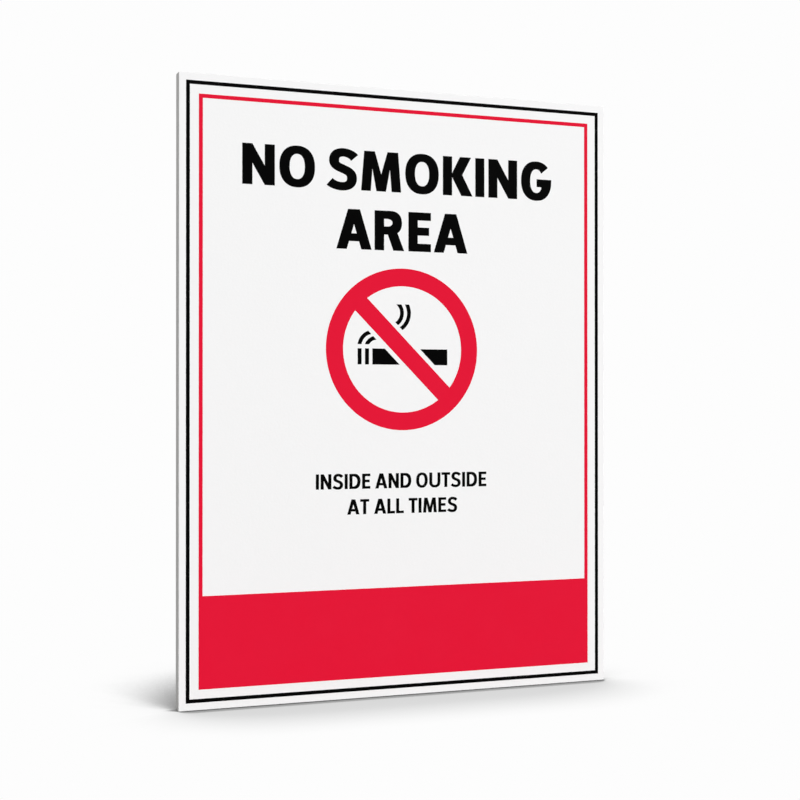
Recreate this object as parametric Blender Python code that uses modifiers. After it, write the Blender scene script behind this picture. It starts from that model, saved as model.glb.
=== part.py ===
"""No smoking sign: a rigid white board with its print as thin fields of black and red ink.

The sign stands upright, as it hangs. +Z is up and the print faces -Y.
The origin is the middle of the back, the face that goes against the wall.
"""

import math

import bpy
from mathutils import Vector

# Board
BOARD_WIDTH = 0.225
BOARD_HEIGHT = 0.300
BOARD_THICKNESS = 0.006
EDGE_BREAK = 0.0003  # the saw-cut edges are eased by hand
EDGE_BREAK_SEGMENTS = 2

# Print
INK_THICKNESS = 0.0001
INK_SEAT_GAP = 0.0003  # between the board's face and the back of the ink
BORDER_MARGIN = 0.0036  # board's edge to the black line
BORDER_LINE = 0.0016
FRAME_MARGIN = 0.0045  # black line to the red frame
FRAME_LINE = 0.0017
BAND_HEIGHT = 0.0437  # the red field across the foot, frame line included

# Prohibition symbol. It is drawn outward from the cigarette and then brought to its diameter as a whole.
SYMBOL_DIAMETER = 0.080
SYMBOL_RISE = 0.0212  # symbol's centre above the board's middle
RING_WIDTH = 0.0086
BAR_WIDTH = 0.0086
BAR_ANGLE = math.radians(45)  # falls to the right
BAR_CLEARANCE = 0.0024  # white gap that parts the cigarette and its smoke from the bar

# Cigarette
CIGARETTE_LENGTH = 0.0474
CIGARETTE_HEIGHT = 0.0077
CIGARETTE_TOP = 0.00015  # above the ring's centre
CIGARETTE_END_MARGIN = 0.0068  # from its lower corners, level, to the inside of the ring
ASH_STRIPS = 2
ASH_STRIP_WIDTH = 0.00185
ASH_STRIP_GAP = 0.0020

# Smoke
SMOKE_WIDTH = 0.0018
SMOKE_FOOT_GAP = 0.00225  # cigarette's top to the foot of the smoke
LOW_CURL_RADII = (0.0072, 0.0059)
LOW_CURL_DROPS = (0.0012, 0.0027)  # centre of the bend below the foot
SMOKE_TOP_MARGIN = 0.0092  # top of the smoke to the inside of the ring
HIGH_CURL_RADII = (0.0064, 0.0093)
HIGH_CURL_BEND_DROP = 0.0042  # centre of the bend below the top
HIGH_CURL_BULGE = -0.0005  # furthest right that the first strand bends, from the ring's centre
HIGH_CURL_SPACING = 0.0037

# Facets on a full circle
RING_STEPS = 120
CURL_STEPS = 64

# Finish: satin board, ink a little glossier
BOARD_ROUGHNESS = 0.5
INK_ROUGHNESS = 0.4

# Worked out from the sizes above
cigarette_bottom = CIGARETTE_TOP - CIGARETTE_HEIGHT
ring_inner = math.hypot(CIGARETTE_LENGTH / 2 + CIGARETTE_END_MARGIN, cigarette_bottom)
ring_outer = ring_inner + RING_WIDTH
enlargement = SYMBOL_DIAMETER / (2 * ring_outer)
bar_normal = Vector((math.sin(BAR_ANGLE), math.cos(BAR_ANGLE)))
clear_reach = BAR_WIDTH / 2 + BAR_CLEARANCE


def linear_colour(hex_text):
    """An sRGB hex colour as the linear RGBA that a shader takes."""
    channels = [int(hex_text[i : i + 2], 16) / 255 for i in (1, 3, 5)]
    return [c / 12.92 if c <= 0.04045 else ((c + 0.055) / 1.055) ** 2.4 for c in channels] + [1]


def make_material(name, colour, roughness):
    material = bpy.data.materials.new(name)
    material.use_nodes = True
    shader = material.node_tree.nodes["Principled BSDF"]
    shader.inputs["Base Color"].default_value = linear_colour(colour)
    shader.inputs["Roughness"].default_value = roughness
    shader.inputs["Metallic"].default_value = 0
    return material


def rectangle(left, bottom, right, top):
    """A closed outline, as the outlines below are: points as seen from the front, x right and y up."""
    return [Vector(corner) for corner in ((left, bottom), (right, bottom), (right, top), (left, top))]


def inset_rectangle(inset):
    """An outline that lies the same distance inside all four edges of the board."""
    half_width, half_height = BOARD_WIDTH / 2 - inset, BOARD_HEIGHT / 2 - inset
    return rectangle(-half_width, -half_height, half_width, half_height)


def arc(centre, radius, start, end, steps_per_turn):
    """Points on a circle from one angle to another."""
    steps = max(2, round(steps_per_turn * abs(end - start) / math.tau))
    angles = [start + (end - start) * i / steps for i in range(steps + 1)]
    return [Vector(centre) + radius * Vector((math.cos(a), math.sin(a))) for a in angles]


def trimmed(outline, direction, reach):
    """The part of a closed outline that lies further along direction than reach."""
    heights = [point.dot(Vector(direction)) - reach for point in outline]
    kept = []
    for i, point in enumerate(outline):
        if (heights[i] > 0) != (heights[i - 1] > 0):
            share = heights[i - 1] / (heights[i - 1] - heights[i])
            kept.append(outline[i - 1].lerp(point, share))
        if heights[i] > 0:
            kept.append(point)
    return kept


def ink_field(name, outlines, material, centre=(0, 0), scale=1):
    """One field of ink in front of the board: a 2D curve, filled inside the first outline and outside the rest."""
    curve = bpy.data.curves.new(name, "CURVE")
    curve.dimensions = "2D"
    curve.fill_mode = "BOTH"
    curve.extrude = INK_THICKNESS / 2
    for outline in outlines:
        spline = curve.splines.new("POLY")
        spline.points.add(len(outline) - 1)
        for spline_point, point in zip(spline.points, outline):
            x, z = Vector(centre) + scale * point
            spline_point.co = (x, z, 0, 1)
        spline.use_cyclic_u = True
    curve.materials.append(material)
    field = bpy.data.objects.new(name, curve)
    field.rotation_euler = (math.radians(90), 0, 0)
    field.location = (0, -BOARD_THICKNESS - INK_SEAT_GAP - INK_THICKNESS / 2, 0)
    sign.objects.link(field)


def symbol_field(name, outlines, material):
    """An ink field of the symbol, drawn about the ring's centre."""
    ink_field(name, outlines, material, centre=(0, SYMBOL_RISE), scale=enlargement)


def make_board():
    """The board: one piece sawn from flat sheet, with its edges eased."""
    bpy.ops.mesh.primitive_cube_add(size=1, location=(0, -BOARD_THICKNESS / 2, 0))
    board = bpy.context.object
    board.name = "sign_board"
    board.scale = (BOARD_WIDTH, BOARD_THICKNESS, BOARD_HEIGHT)
    bpy.ops.object.transform_apply(location=False, rotation=False, scale=True)
    easing = board.modifiers.new("eased edges", "BEVEL")
    easing.width = EDGE_BREAK
    easing.segments = EDGE_BREAK_SEGMENTS
    board.data.materials.append(make_material("white foamed board", "#F5F5F5", BOARD_ROUGHNESS))
    bpy.context.collection.objects.unlink(board)
    sign.objects.link(board)


def make_borders():
    """The black line round the board, and the red frame, whose foot is the broad red band."""
    border_outer = BORDER_MARGIN
    border_inner = border_outer + BORDER_LINE
    frame_outer = border_inner + FRAME_MARGIN
    frame_inner = frame_outer + FRAME_LINE
    ink_field("black_border_line", [inset_rectangle(border_outer), inset_rectangle(border_inner)], black_ink)
    band_top = -BOARD_HEIGHT / 2 + frame_outer + BAND_HEIGHT
    window = trimmed(inset_rectangle(frame_inner), (0, 1), band_top)
    ink_field("red_frame_and_band", [inset_rectangle(frame_outer), window], red_ink)


def make_ring_and_bar():
    """The ring and its diagonal bar, one shape with two D-shaped windows left between them."""
    outside = arc((0, 0), ring_outer, 0, math.tau, RING_STEPS)[:-1]
    whole = arc((0, 0), ring_inner, 0, math.tau, RING_STEPS)[:-1]
    windows = [trimmed(whole, side * bar_normal, BAR_WIDTH / 2) for side in (1, -1)]
    symbol_field("prohibition_ring_and_bar", [outside, *windows], red_ink)


def make_cigarette():
    """The cigarette, parted by the bar: ash strips at the lit end, a body and a filter end."""
    half_length = CIGARETTE_LENGTH / 2
    strip_lefts = [-half_length + i * (ASH_STRIP_WIDTH + ASH_STRIP_GAP) for i in range(ASH_STRIPS + 1)]
    for number, left in enumerate(strip_lefts[:-1], start=1):
        strip = rectangle(left, cigarette_bottom, left + ASH_STRIP_WIDTH, CIGARETTE_TOP)
        symbol_field(f"ash_strip_{number}", [trimmed(strip, -bar_normal, clear_reach)], black_ink)
    cigarette = rectangle(strip_lefts[-1], cigarette_bottom, half_length, CIGARETTE_TOP)
    symbol_field("cigarette_body", [trimmed(cigarette, -bar_normal, clear_reach)], black_ink)
    symbol_field("cigarette_filter_end", [trimmed(cigarette, bar_normal, clear_reach)], black_ink)
    return [left + ASH_STRIP_WIDTH / 2 for left in strip_lefts[:-1]]


def curl(centre, radius, start, end):
    """A strand of smoke: a bent stroke of even width. Angles run anticlockwise from the right."""
    outer = arc(centre, radius + SMOKE_WIDTH / 2, start, end, CURL_STEPS)
    inner = arc(centre, radius - SMOKE_WIDTH / 2, start, end, CURL_STEPS)
    return outer + inner[::-1]


def make_smoke(strand_feet):
    """Two strands that rise from the ash strips, pass behind the bar and bend back above it."""
    foot = CIGARETTE_TOP + SMOKE_FOOT_GAP
    for number, (x, radius, drop) in enumerate(zip(strand_feet, LOW_CURL_RADII, LOW_CURL_DROPS), start=1):
        centre = (x + math.sqrt(radius**2 - drop**2), foot - drop)
        leftmost_to_behind_the_bar = (math.pi, math.pi / 4)
        strand = curl(centre, radius, *leftmost_to_behind_the_bar)
        strand = trimmed(trimmed(strand, (0, 1), foot), -bar_normal, clear_reach)
        symbol_field(f"low_smoke_curl_{number}", [strand], black_ink)
    top = ring_inner - SMOKE_TOP_MARGIN
    for number, radius in enumerate(HIGH_CURL_RADII, start=1):
        bulge = HIGH_CURL_BULGE + (number - 1) * HIGH_CURL_SPACING
        centre = (bulge - radius, top - HIGH_CURL_BEND_DROP)
        lowest_to_highest = (-math.pi / 2, math.pi / 2)
        strand = curl(centre, radius, *lowest_to_highest)
        strand = trimmed(trimmed(strand, (0, -1), -top), bar_normal, clear_reach)
        symbol_field(f"high_smoke_curl_{number}", [strand], black_ink)


for old_object in list(bpy.data.objects):
    bpy.data.objects.remove(old_object)
sign = bpy.data.collections.new("no_smoking_sign")
bpy.context.scene.collection.children.link(sign)
black_ink = make_material("black ink", "#050505", INK_ROUGHNESS)
red_ink = make_material("red ink", "#E41B37", INK_ROUGHNESS)
make_board()
make_borders()
make_ring_and_bar()
make_smoke(make_cigarette())
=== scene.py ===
import math

import bmesh
import bpy
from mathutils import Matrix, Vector
from mathutils.geometry import interpolate_bezier


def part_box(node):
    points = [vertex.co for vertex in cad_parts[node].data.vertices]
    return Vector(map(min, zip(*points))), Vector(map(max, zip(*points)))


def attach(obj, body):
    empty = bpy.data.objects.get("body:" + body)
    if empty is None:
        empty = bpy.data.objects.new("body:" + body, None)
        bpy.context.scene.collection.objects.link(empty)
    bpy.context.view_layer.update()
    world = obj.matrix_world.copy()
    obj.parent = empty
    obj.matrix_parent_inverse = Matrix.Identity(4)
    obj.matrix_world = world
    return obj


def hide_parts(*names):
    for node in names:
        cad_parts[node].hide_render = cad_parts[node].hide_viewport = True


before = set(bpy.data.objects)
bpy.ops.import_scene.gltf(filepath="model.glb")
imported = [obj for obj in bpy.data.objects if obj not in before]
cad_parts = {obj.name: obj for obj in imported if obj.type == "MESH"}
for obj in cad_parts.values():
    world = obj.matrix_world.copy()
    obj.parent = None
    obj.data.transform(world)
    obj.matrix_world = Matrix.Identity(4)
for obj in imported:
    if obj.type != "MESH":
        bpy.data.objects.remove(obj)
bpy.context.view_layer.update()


# The board
# One rectangle of rigid foamed PVC sheet, sawn to size, with its corners left square and its edges eased
# by hand. The sheet's two faces are a dense satin skin. The saw opens the finer, duller foam inside.

MM = 0.001
EASED_EDGE = 0.25 * MM
EASED_EDGE_STEPS = 4
PVC_IOR = 1.53
SKIN_WHITES = ("#F5F5F5", "#F3F3F3")
SKIN_ROUGHNESS = (0.5, 0.6)
SKIN_SPECULAR = 0.18  # matched to the board, which is one even white with hardly any sheen
SKIN_PEEL_SPACING = 1.2 * MM
SKIN_PEEL_DEPTH = 0.04 * MM  # deeper than the real peel, to show
FOAM_WHITES = ("#ECECEA", "#E0E0DD")
FOAM_ROUGHNESS = (0.62, 0.78)
FOAM_SPECULAR = 0.35
FOAM_PORE_SPACING = 0.25 * MM
SAW_MARK_SPACING = 0.9 * MM
SAWN_DEPTH = 0.025 * MM
SKIN, SAWN = 0, 1  # the board's two materials, in the order in which it is given them


def linear_colour(hex_text):
    """An sRGB hex colour as the linear RGBA that a shader takes, by sRGB's own curve."""
    channels = [int(hex_text[i : i + 2], 16) / 255 for i in (1, 3, 5)]
    return [c / 12.92 if c <= 0.04045 else ((c + 0.055) / 1.055) ** 2.4 for c in channels] + [1]


def new_material(name):
    """A material with no nodes in it yet."""
    material = bpy.data.materials.new(name)
    material.use_nodes = True
    material.node_tree.nodes.clear()
    return material


def add_node(material, kind, settings=None, **inputs):
    """Adds a node. An input is named, or numbered as _0, and takes a value or a socket to link from."""
    tree = material.node_tree
    node = tree.nodes.new(kind)
    for name, value in (settings or {}).items():
        setattr(node, name, value)
    for name, value in inputs.items():
        socket = node.inputs[int(name[1:]) if name[1:].isdigit() else name.replace("_", " ")]
        if isinstance(value, bpy.types.NodeSocket):
            tree.links.new(value, socket)
        else:
            socket.default_value = value
    return node


def noise(material, spacing, detail):
    """Soft noise in the object's own space, with its features a real distance apart."""
    place = add_node(material, "ShaderNodeTexCoord").outputs["Object"]
    soft = add_node(material, "ShaderNodeTexNoise", Vector=place, Scale=1 / spacing, Detail=detail)
    return soft.outputs["Fac"]


def finish_surface(
    material, colours, colour_mask, roughness, roughness_mask, relief, depth, ior, specular
):
    """A dull or satin surface. Its masks run from 0 to 1, from each pair's first value to its second."""
    colour = add_node(
        material,
        "ShaderNodeMix",
        {"data_type": "RGBA"},
        _0=colour_mask,
        _6=linear_colour(colours[0]),
        _7=linear_colour(colours[1]),
    )
    dullness = add_node(
        material, "ShaderNodeMapRange", _0=roughness_mask, _3=roughness[0], _4=roughness[1]
    )
    slope = add_node(material, "ShaderNodeBump", Distance=depth, Height=relief)
    surface = add_node(
        material,
        "ShaderNodeBsdfPrincipled",
        Base_Color=colour.outputs[2],
        Roughness=dullness.outputs[0],
        IOR=ior,
        Specular_IOR_Level=specular,
        Normal=slope.outputs["Normal"],
    )
    add_node(material, "ShaderNodeOutputMaterial", Surface=surface.outputs["BSDF"])
    return material


def pvc_skin():
    """Foamed PVC sheet's extruded skin: satin, with the faint orange peel that the rolls leave."""
    material = new_material("foamed_PVC_extruded_skin")
    peel = noise(material, SKIN_PEEL_SPACING, detail=2)
    return finish_surface(
        material, SKIN_WHITES, peel, SKIN_ROUGHNESS, peel, peel, SKIN_PEEL_DEPTH, PVC_IOR, SKIN_SPECULAR
    )


def pvc_sawn_foam():
    """The sawn edge: closed-cell foam cut open, dull, with fine pores and the saw's marks across it."""
    material = new_material("foamed_PVC_sawn_core")
    place = add_node(material, "ShaderNodeTexCoord").outputs["Object"]
    pores = add_node(
        material, "ShaderNodeTexVoronoi", Vector=place, Scale=1 / FOAM_PORE_SPACING
    ).outputs[0]
    axes = add_node(material, "ShaderNodeSeparateXYZ", Vector=place).outputs
    along = add_node(
        material, "ShaderNodeMath", {"operation": "ADD"}, _0=axes["X"], _1=axes["Z"]
    ).outputs[0]
    marks = add_node(
        material,
        "ShaderNodeTexNoise",
        {"noise_dimensions": "1D"},
        W=along,
        Scale=1 / SAW_MARK_SPACING,
        Detail=3,
    ).outputs[0]
    relief = add_node(material, "ShaderNodeMath", {"operation": "ADD"}, _0=marks, _1=pores).outputs[0]
    return finish_surface(
        material, FOAM_WHITES, marks, FOAM_ROUGHNESS, pores, relief, SAWN_DEPTH, PVC_IOR, FOAM_SPECULAR
    )


board_low, board_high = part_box("sign_board")
bm = bmesh.new()
bmesh.ops.create_cube(bm, size=1)
bmesh.ops.scale(bm, verts=bm.verts, vec=board_high - board_low)
bmesh.ops.translate(bm, verts=bm.verts, vec=(board_low + board_high) / 2)
for face in bm.faces:
    face.smooth = True
    face.material_index = SKIN if face.normal.x == face.normal.z == 0 else SAWN
board_mesh = bpy.data.meshes.new("foamed_board")
bm.to_mesh(board_mesh)
bm.free()
board = bpy.data.objects.new("foamed_board", board_mesh)
bpy.context.scene.collection.objects.link(board)
easing = board.modifiers.new("eased edges", "BEVEL")
easing.width = EASED_EDGE
easing.segments = EASED_EDGE_STEPS
easing.harden_normals = True
board.data.materials.append(pvc_skin())
board.data.materials.append(pvc_sawn_foam())
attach(board, "root")
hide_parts("sign_board")
board_face = board_low.y
board_foot = board_low.z


# The printed fields
# Solid black and red ink, screen printed straight onto the skin and cured: the black border line, the
# red frame with its broad foot band, the prohibition ring and bar, and the cigarette with its smoke.

INK_THICKNESS = 0.03 * MM
INK_SPREAD = 0.1 * MM  # wet ink runs out this far past the edge of its stencil
BLUNTEST_POINT = 0.5  # a sharper corner than about 60 degrees is blunted as the ink spreads
INK_BLACKS = ("#020202", "#050505")
INK_REDS = ("#E41736", "#E41B39")
INK_ROUGHNESS = (0.45, 0.55)
INK_IOR = 1.5
INK_SPECULAR = 0.01  # matched to the print, whose black shows hardly any haze
INK_CLOUD_SPACING = 14 * MM
INK_GRAIN_SPACING = 0.8 * MM  # about three times the screen's mesh, to show
INK_GRAIN_DEPTH = 0.03 * MM  # as deep as the film is thick, to show
POINT_WELD = INK_THICKNESS / 10  # points of the CAD mesh closer than this are one
FORWARD_LEAN = 0.5  # the film's side faces look forward or back by less than this


def printed_ink(name, colours):
    """Screen ink: even and satin, a shade thinner in soft clouds, with the screen's fine grain."""
    material = new_material(name)
    clouds = noise(material, INK_CLOUD_SPACING, detail=2)
    grain = noise(material, INK_GRAIN_SPACING, detail=1)
    return finish_surface(
        material, colours, clouds, INK_ROUGHNESS, grain, grain, INK_GRAIN_DEPTH, INK_IOR, INK_SPECULAR
    )


black_ink = printed_ink("black_screen_ink_cured", INK_BLACKS)
red_ink = printed_ink("red_screen_ink_cured", INK_REDS)


def lay_ink(field, ink):
    """Gives a finished piece of print its ink, and lets it ride on the board."""
    field.data.materials.clear()
    field.data.materials.append(ink)
    bpy.context.scene.collection.objects.link(field)
    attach(field, "root")


def spread_at(vertex):
    """How the ink runs out at a point of its outline, square to the two edges that meet there."""
    sides = [face.normal for face in vertex.link_faces if abs(face.normal.y) < FORWARD_LEAN]
    first, second = sides[0], min(sides, key=sides[0].dot)
    return (first + second) * (INK_SPREAD / max(1 + first.dot(second), BLUNTEST_POINT))


def printed_field(node_name, ink):
    """A CAD ink field, brought to real ink's thickness and spread and laid on the board's face."""
    bm = bmesh.new()
    bm.from_mesh(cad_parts[node_name].data)
    bmesh.ops.remove_doubles(bm, verts=bm.verts, dist=POINT_WELD)
    bm.normal_update()
    low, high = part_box(node_name)
    for vertex, spread in [(vertex, spread_at(vertex)) for vertex in bm.verts]:
        height = (high.y - vertex.co.y) / (high.y - low.y)
        vertex.co += spread
        vertex.co.y = board_face - height * INK_THICKNESS
    mesh = bpy.data.meshes.new("printed_" + node_name)
    bm.to_mesh(mesh)
    bm.free()
    field = bpy.data.objects.new("printed_" + node_name, mesh)
    lay_ink(field, ink)
    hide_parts(node_name)


red_fields = ("red_frame_and_band", "prohibition_ring_and_bar")
for field_name in sorted(set(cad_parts) - {"sign_board"}):
    if field_name in red_fields:
        printed_field(field_name, red_ink)
    else:
        printed_field(field_name, black_ink)


# The words
# Two lines of heavy capitals above the symbol and two lighter ones below it, screened in the same black
# ink. They are plain sans letters, cut square at the ends, with slightly squared rounds.

HEADLINE_CAP = 19.6 * MM
HEADLINE_STEM = 0.255  # like all the letters' sizes, a share of the capital's height
HEADLINE_BASES = (99.0 * MM, 70.0 * MM)
NOTE_CAP = 7.4 * MM
NOTE_STEM = 0.215
NOTE_BASES = (-47.5 * MM, -60.0 * MM)
BAR_TO_STEM = 0.8
LETTER_GAP = 0.115
SLANT_TUCK = 0.035  # slanting and open sides stand closer to their neighbours
OPEN_RIGHT_SIDES = "AKLT"
OPEN_LEFT_SIDES = "AT"
WORD_GAP = 0.35
OVERSHOOT = 0.015  # round letters reach past straight ones, to look the same height
ROUND_SIDE = 1.03  # stem of a round side to a straight one
SQUARENESS = 0.88  # 1 would be a true oval
CURVE_STEPS = 20  # in a quarter turn, and in a curve from one point to another
UPRIGHT = math.radians(90)  # turns a flat drawing up, to face forward


def oval(left, bottom, right, top, start, end):
    """Points on a slightly squared oval that fills a box, from one angle in degrees to another."""
    steps = max(2, round(CURVE_STEPS * abs(end - start) / 90))
    points = []
    for step in range(steps + 1):
        angle = math.radians(start + (end - start) * step / steps)
        aim = (math.cos(angle), math.sin(angle))
        x, z = (math.copysign(abs(part) ** SQUARENESS, part) for part in aim)
        across = (left + right + x * (right - left)) / 2
        up = (bottom + top + z * (top - bottom)) / 2
        points.append((across, up))
    return points


def curve_between(start, pull_start, pull_end, end):
    """Points on a smooth curve that leaves start toward one pull and reaches end from the other."""
    knots = [Vector((*point, 0)) for point in (start, pull_start, pull_end, end)]
    return [(point.x, point.y) for point in interpolate_bezier(*knots, CURVE_STEPS)]


def pen_stroke(path, stem, bar):
    """The outline of a stroke on a path: as wide as a stem where it stands, as a bar where it lies."""
    left_side, right_side = [], []
    for i, (x, z) in enumerate(path):
        before, after = path[max(i - 1, 0)], path[min(i + 1, len(path) - 1)]
        along = Vector((after[0] - before[0], after[1] - before[1])).normalized()
        half = math.hypot(stem * along.y, bar * along.x) / 2
        left_side.append((x - along.y * half, z + along.x * half))
        right_side.append((x + along.y * half, z - along.x * half))
    return left_side + right_side[::-1]


def diagonal_climb(gap, width):
    """How high a diagonal of one width rises across a gap, from a stem's foot to the stem before it."""
    # It solves (1 - climb) * gap = width * hypot(gap, climb)
    g, w = gap * gap, width * width
    return (g - math.sqrt(g * g - (g - w) * g * (1 - w))) / (g - w)


# Each letter gives its width and its outlines, for a stem and a bar of given widths. Its numbers are its
# drawing: places and widths as shares of the capital's height, and the angles of its rounds in degrees.


def letter_a(stem, bar):
    width = 0.46 + 1.85 * stem
    leg, peak, low = 1.07 * stem, 0.62 * stem, 0.2
    high, lean = low + 0.95 * bar, width / 2 - peak
    left = [(width / 2 - peak, 1), (0, 0), (leg, 0), (leg + lean * low, low)]
    corner, point = leg + lean * high, (width / 2 - leg) / lean
    window = [(corner, high), (width - corner, high), (width / 2, point)]
    return width, [left + [(width - x, z) for x, z in left[::-1]], window]


def letter_d(stem, bar):
    width = 0.4 + 1.75 * stem
    right, bowl = width - ROUND_SIDE * stem, 0.84
    outer = [(0, 0), *oval(width - bowl, 0, width, 1, -90, 90), (0, 1)]
    hollow = oval(right - bowl + 1.1 * stem, bar, right, 1 - bar, -90, 90)
    return width, [outer, [(stem, bar), *hollow, (stem, 1 - bar)]]


def letter_e(stem, bar):
    width = 0.36 + stem
    middle, short = 0.515, width - 0.05
    low, high, under = middle - bar / 2, middle + bar / 2, 1 - bar
    foot_arm = [(width, 0), (width, bar), (stem, bar)]
    middle_arm = [(stem, low), (short, low), (short, high), (stem, high)]
    top_arm = [(stem, under), (width, under), (width, 1)]
    return width, [[(0, 0), *foot_arm, *middle_arm, *top_arm, (0, 1)]]


def letter_g(stem, bar):
    width = 0.43 + 1.75 * stem
    side, foot, top = ROUND_SIDE * stem, -OVERSHOOT, 1 + OVERSHOOT
    outer = oval(0, foot, width, top, 42, 360)
    inner = oval(side, foot + bar, width - side, top - bar, 325, 38)
    shelf, tip = 0.55, width / 2 + 0.01
    spur = [(width, shelf), (tip, shelf), (tip, shelf - bar), (inner[0][0], shelf - bar)]
    return width, [outer + spur + inner]


def letter_i(stem, bar):
    return stem, [[(0, 0), (stem, 0), (stem, 1), (0, 1)]]


def letter_k(stem, bar):
    width = 0.57 + stem
    leg, arm_end = 1.22 * stem, width - 0.04
    fork = (stem + 0.72 * leg + 0.06, 0.54)
    lower = [(0, 0), (stem, 0), (stem, 0.47), (width - leg, 0), (width, 0), fork]
    upper = [(arm_end, 1), (arm_end - leg, 1), (stem, 0.575), (stem, 1), (0, 1)]
    return width, [lower + upper]


def letter_l(stem, bar):
    width = 0.33 + stem
    return width, [[(0, 0), (width, 0), (width, bar), (stem, bar), (stem, 1), (0, 1)]]


def letter_m(stem, bar):
    width = 0.56 + 2 * stem
    middle, shoulder, slope = width / 2, 0.08, 1.12 * stem
    half = [(0, 0), (stem, 0), (stem + 0.045, 0.56), (middle - stem / 2, 0)]
    top = [(shoulder + slope, 1), (shoulder, 1)]
    mirrored = [[(width - x, z) for x, z in points[::-1]] for points in (half, top)]
    return width, [half + mirrored[0] + mirrored[1] + [(middle, 0.2 + 0.9 * stem)] + top]


def letter_n(stem, bar):
    width = 0.31 + 2 * stem
    right = width - stem
    climb = diagonal_climb(right - stem, 0.95 * stem)
    half = [(0, 0), (stem, 0), (stem, climb), (right, 0), (width, 0)]
    return width, [half + [(width - x, 1 - z) for x, z in half]]


def letter_o(stem, bar):
    width = 0.43 + 1.9 * stem
    side, foot, top = ROUND_SIDE * stem, -OVERSHOOT, 1 + OVERSHOOT
    outer = oval(0, foot, width, top, 0, 360)[:-1]
    return width, [outer, oval(side, foot + bar, width - side, top - bar, 0, 360)[:-1]]


def letter_r(stem, bar):
    width = 0.54 + stem
    right, waist, leg, bowl = width - 0.06, 0.4, 1.15 * stem, 0.6
    outer = oval(right - bowl, waist, right, 1, -56, 90)
    hollow = oval(right - stem - 0.34, waist + bar, right - stem, 1 - bar, -90, 90)
    foot = [(0, 0), (stem, 0), (stem, waist), (stem + 0.1, waist), (width - leg, 0), (width, 0)]
    return width, [foot + outer + [(0, 1)], [(stem, waist + bar), *hollow, (stem, 1 - bar)]]


def letter_s(stem, bar):
    width = 0.4 + 1.35 * stem
    left, right = 0.02 + stem / 2, width - stem / 2
    top, foot = 1 + OVERSHOOT - bar / 2, bar / 2 - OVERSHOOT
    upper_turn, lower_turn = (left, 0.715), (right, 0.285)
    upper = curve_between((width - 0.06, 0.8), (width - 0.16, top + 0.03), (left, top + 0.1), upper_turn)
    spine = curve_between(upper_turn, (left, 0.47), (right, 0.56), lower_turn)
    lower = curve_between(lower_turn, (right, foot - 0.1), (0.15, foot - 0.03), (0.03, 0.185))
    return width, [pen_stroke(upper[:-1] + spine + lower[1:], ROUND_SIDE * stem, ROUND_SIDE * bar)]


def letter_t(stem, bar):
    width = 0.42 + stem
    left, right, under = (width - stem) / 2, (width + stem) / 2, 1 - bar
    top = [(right, under), (width, under), (width, 1), (0, 1), (0, under), (left, under)]
    return width, [[(left, 0), (right, 0), *top]]


def letter_u(stem, bar):
    width = 0.39 + 1.95 * stem
    foot, turn = -OVERSHOOT, 0.36
    outer = oval(0, foot, width, 2 * turn - foot, 180, 360)
    inner = oval(stem, foot + bar, width - stem, 2 * turn - foot - bar, 360, 180)
    return width, [[(0, 1), *outer, (width, 1), (width - stem, 1), *inner, (stem, 1)]]


LETTERS = {
    "A": letter_a, "D": letter_d, "E": letter_e, "G": letter_g, "I": letter_i,
    "K": letter_k, "L": letter_l, "M": letter_m, "N": letter_n, "O": letter_o,
    "R": letter_r, "S": letter_s, "T": letter_t, "U": letter_u,
}


def set_line(text, stem):
    """A line of capitals of height 1, from x = 0: its width and its outlines."""
    outlines, x, previous = [], 0, None
    for character in text:
        if character == " ":
            x, previous = x + WORD_GAP, None
            continue
        if previous:
            open_sides = (previous in OPEN_RIGHT_SIDES) + (character in OPEN_LEFT_SIDES)
            x += LETTER_GAP - SLANT_TUCK * open_sides
        width, shapes = LETTERS[character](stem, BAR_TO_STEM * stem)
        outlines += [[(x + px, pz) for px, pz in shape] for shape in shapes]
        x, previous = x + width, character
    return x, outlines


def print_words(name, text, cap_height, stem, base):
    """One printed line of words, centred on the board, as a film of ink on its face."""
    width, outlines = set_line(text, stem)
    curve = bpy.data.curves.new(name, "CURVE")
    curve.dimensions = "2D"
    curve.fill_mode = "BOTH"
    curve.extrude = INK_THICKNESS / 2
    for outline in outlines:
        spline = curve.splines.new("POLY")
        spline.points.add(len(outline) - 1)
        for point, (x, z) in zip(spline.points, outline):
            point.co = ((x - width / 2) * cap_height, base + z * cap_height, 0, 1)
        spline.use_cyclic_u = True
    line = bpy.data.objects.new(name, curve)
    line.rotation_euler.x = UPRIGHT
    line.location.y = board_face - INK_THICKNESS / 2
    lay_ink(line, black_ink)


print_words("headline_first_line", "NO SMOKING", HEADLINE_CAP, HEADLINE_STEM, HEADLINE_BASES[0])
print_words("headline_second_line", "AREA", HEADLINE_CAP, HEADLINE_STEM, HEADLINE_BASES[1])
print_words("note_first_line", "INSIDE AND OUTSIDE", NOTE_CAP, NOTE_STEM, NOTE_BASES[0])
print_words("note_second_line", "AT ALL TIMES", NOTE_CAP, NOTE_STEM, NOTE_BASES[1])


# The floor and the background
# A plain white floor that runs out into a plain white background. The camera sees both at one white. On
# the floor a soft shadow is painted into that white: the floor's glow is dimmed near the board, as far
# as the board hides the room from it, and no lamp casts it.

FLOOR_SPREAD = 6.0  # metres from the middle to an edge
FLOOR_GREY = "#AAAAAA"
BACKGROUND_WHITE = "#FDFDFD"
ROOM_WHITE = "#FFFFFF"
ROOM_LIGHT = 0.315
FROM_ABOVE = (0, 0, 1)
FROM_BEHIND = (0, 1.5, 1)
FROM_FRONT_RIGHT = (0.68, -0.65, 1)
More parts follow.
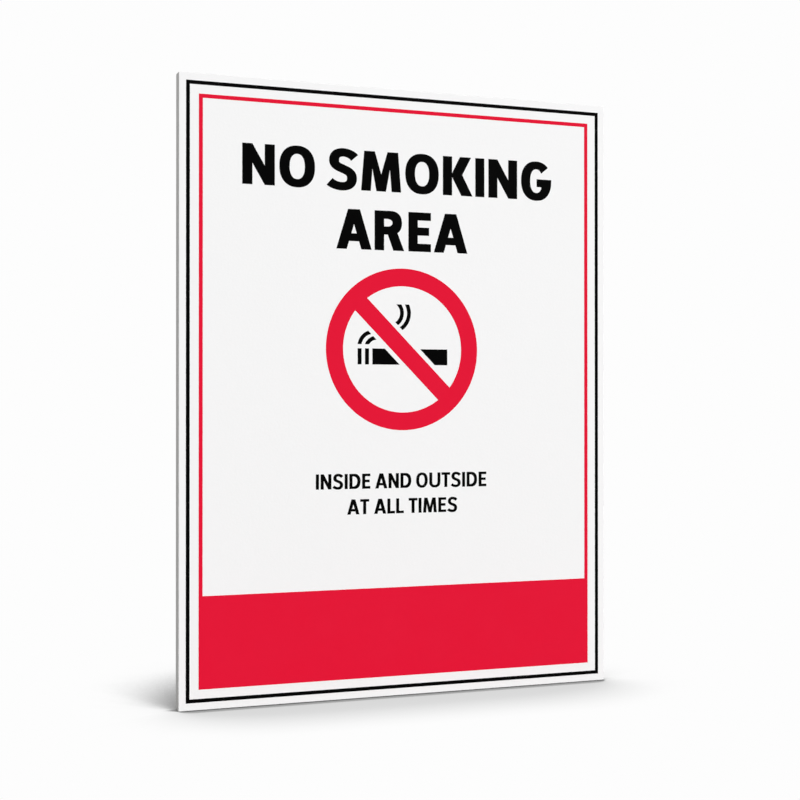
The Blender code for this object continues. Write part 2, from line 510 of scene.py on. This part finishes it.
# Each painted shadow's reach, the openness to the room at which it is darkest and at which it ends, how
# light it is at its darkest, and the side toward which it measures the room's openness, as if its light
# came from there
PAINTED_SHADOWS = (
    (3 * MM, (0.32, 0.85), 0.18, FROM_BEHIND),  # the dark line along the foot
    (10.5 * MM, (0.56, 0.65), 0.53, FROM_BEHIND),  # the shade close to it
    (78 * MM, (0.67, 0.94), 0.71, FROM_ABOVE),  # the soft shade all round the board
    (200 * MM, (0.6, 0.76), 0.42, FROM_FRONT_RIGHT),  # the long shade behind it
)
SHADOW_RAYS = 32

bm = bmesh.new()
bmesh.ops.create_grid(bm, x_segments=1, y_segments=1, size=FLOOR_SPREAD)
floor_mesh = bpy.data.meshes.new("floor")
bm.to_mesh(floor_mesh)
bm.free()
floor = bpy.data.objects.new("floor", floor_mesh)
floor.location.z = board_foot
bpy.context.scene.collection.objects.link(floor)


def direct_look(material):
    """1 for a ray from the camera or one that gloss or glass sends on, and 0 for scattered light."""
    ray = add_node(material, "ShaderNodeLightPath").outputs
    seen = ray["Is Camera Ray"]
    for kind in ("Is Glossy Ray", "Is Transmission Ray"):
        either = add_node(material, "ShaderNodeMath", {"operation": "MAXIMUM"}, _0=seen, _1=ray[kind])
        seen = either.outputs[0]
    return seen


def painted_shadow_near(material, reach, openness, darkest, side):
    """Painted shadow near the board: the floor's glow from its darkest to 1, as more of the room opens
    to it.
    """
    facing = Vector(side).normalized()
    direction = add_node(material, "ShaderNodeCombineXYZ", X=facing.x, Y=facing.y, Z=facing.z)
    room = add_node(
        material,
        "ShaderNodeAmbientOcclusion",
        {"samples": SHADOW_RAYS},
        Distance=reach,
        Normal=direction.outputs[0],
    )
    light = add_node(
        material,
        "ShaderNodeMapRange",
        _0=room.outputs["AO"],
        _1=openness[0],
        _2=openness[1],
        _3=darkest,
        _4=1.0,
    )
    return light.outputs[0]


floor_paint = new_material("matt_white_studio_floor")
# The painted shadow: all the shadows above, multiplied together
shadow = 1.0
for shadow_values in PAINTED_SHADOWS:
    one = painted_shadow_near(floor_paint, *shadow_values)
    both = add_node(floor_paint, "ShaderNodeMath", {"operation": "MULTIPLY"}, _0=shadow, _1=one)
    shadow = both.outputs[0]
seen_white = linear_colour(BACKGROUND_WHITE)
# The floor as the camera sees it: an even white glow, darkened near the board by the painted shadow
glow = add_node(floor_paint, "ShaderNodeEmission", Color=seen_white, Strength=shadow)
matt = add_node(floor_paint, "ShaderNodeBsdfDiffuse", Color=linear_colour(FLOOR_GREY))
floor_look = add_node(
    floor_paint,
    "ShaderNodeMixShader",
    _0=direct_look(floor_paint),
    _1=matt.outputs[0],
    _2=glow.outputs[0],
)
add_node(floor_paint, "ShaderNodeOutputMaterial", Surface=floor_look.outputs[0])
floor.data.materials.append(floor_paint)

world = bpy.data.worlds.new("studio")
bpy.context.scene.world = world
world.use_nodes = True
world.node_tree.nodes.clear()
room = add_node(world, "ShaderNodeBackground", Color=linear_colour(ROOM_WHITE), Strength=ROOM_LIGHT)
white = add_node(world, "ShaderNodeBackground", Color=seen_white)
world_look = add_node(
    world, "ShaderNodeMixShader", _0=direct_look(world), _1=room.outputs[0], _2=white.outputs[0]
)
add_node(world, "ShaderNodeOutputWorld", Surface=world_look.outputs[0])


# The lamps
# Two large soft lights, far enough off to light the board evenly: the main one in front, to the right
# and above, and a weaker one behind.

LAMP_SOFTNESS = math.radians(40)
FRONT_LAMP_SIDE = Vector((1.0, -1.0, 0.65))
FRONT_LAMP_STRENGTH = 3.2
BACK_LAMP_SIDE = Vector((0.1, 1.0, 0.6))
BACK_LAMP_STRENGTH = 1.4


def add_lamp(name, side, strength):
    """A distant soft light that shines from one side."""
    lamp = bpy.data.lights.new(name, "SUN")
    lamp.angle = LAMP_SOFTNESS
    lamp.energy = strength
    stand = bpy.data.objects.new(name, lamp)
    stand.rotation_euler = (-side).to_track_quat("-Z", "Y").to_euler()
    bpy.context.scene.collection.objects.link(stand)


add_lamp("front_light", FRONT_LAMP_SIDE, FRONT_LAMP_STRENGTH)
add_lamp("back_light", BACK_LAMP_SIDE, BACK_LAMP_STRENGTH)


# The camera
# It stands about 0.7 m off, to the sign's left and level with its middle. Its place and long lens are
# matched to where the board's corners lie in the photograph.

CAMERA_LENS = 64.95
CAMERA_PLACE = Vector((-254.7, -675.1, -7.4)) * MM
CAMERA_LEVEL = 90  # degrees, from straight down
CAMERA_TURN = 20.722
CAMERA_TILT = 0.28

camera = bpy.data.cameras.new("camera")
camera.lens = CAMERA_LENS
camera_stand = bpy.data.objects.new("camera", camera)
camera_stand.location = CAMERA_PLACE
camera_stand.rotation_euler = (math.radians(CAMERA_LEVEL + CAMERA_TILT), 0, -math.radians(CAMERA_TURN))
bpy.context.scene.collection.objects.link(camera_stand)
bpy.context.scene.camera = camera_stand
bpy.context.scene.view_settings.view_transform = "Standard"
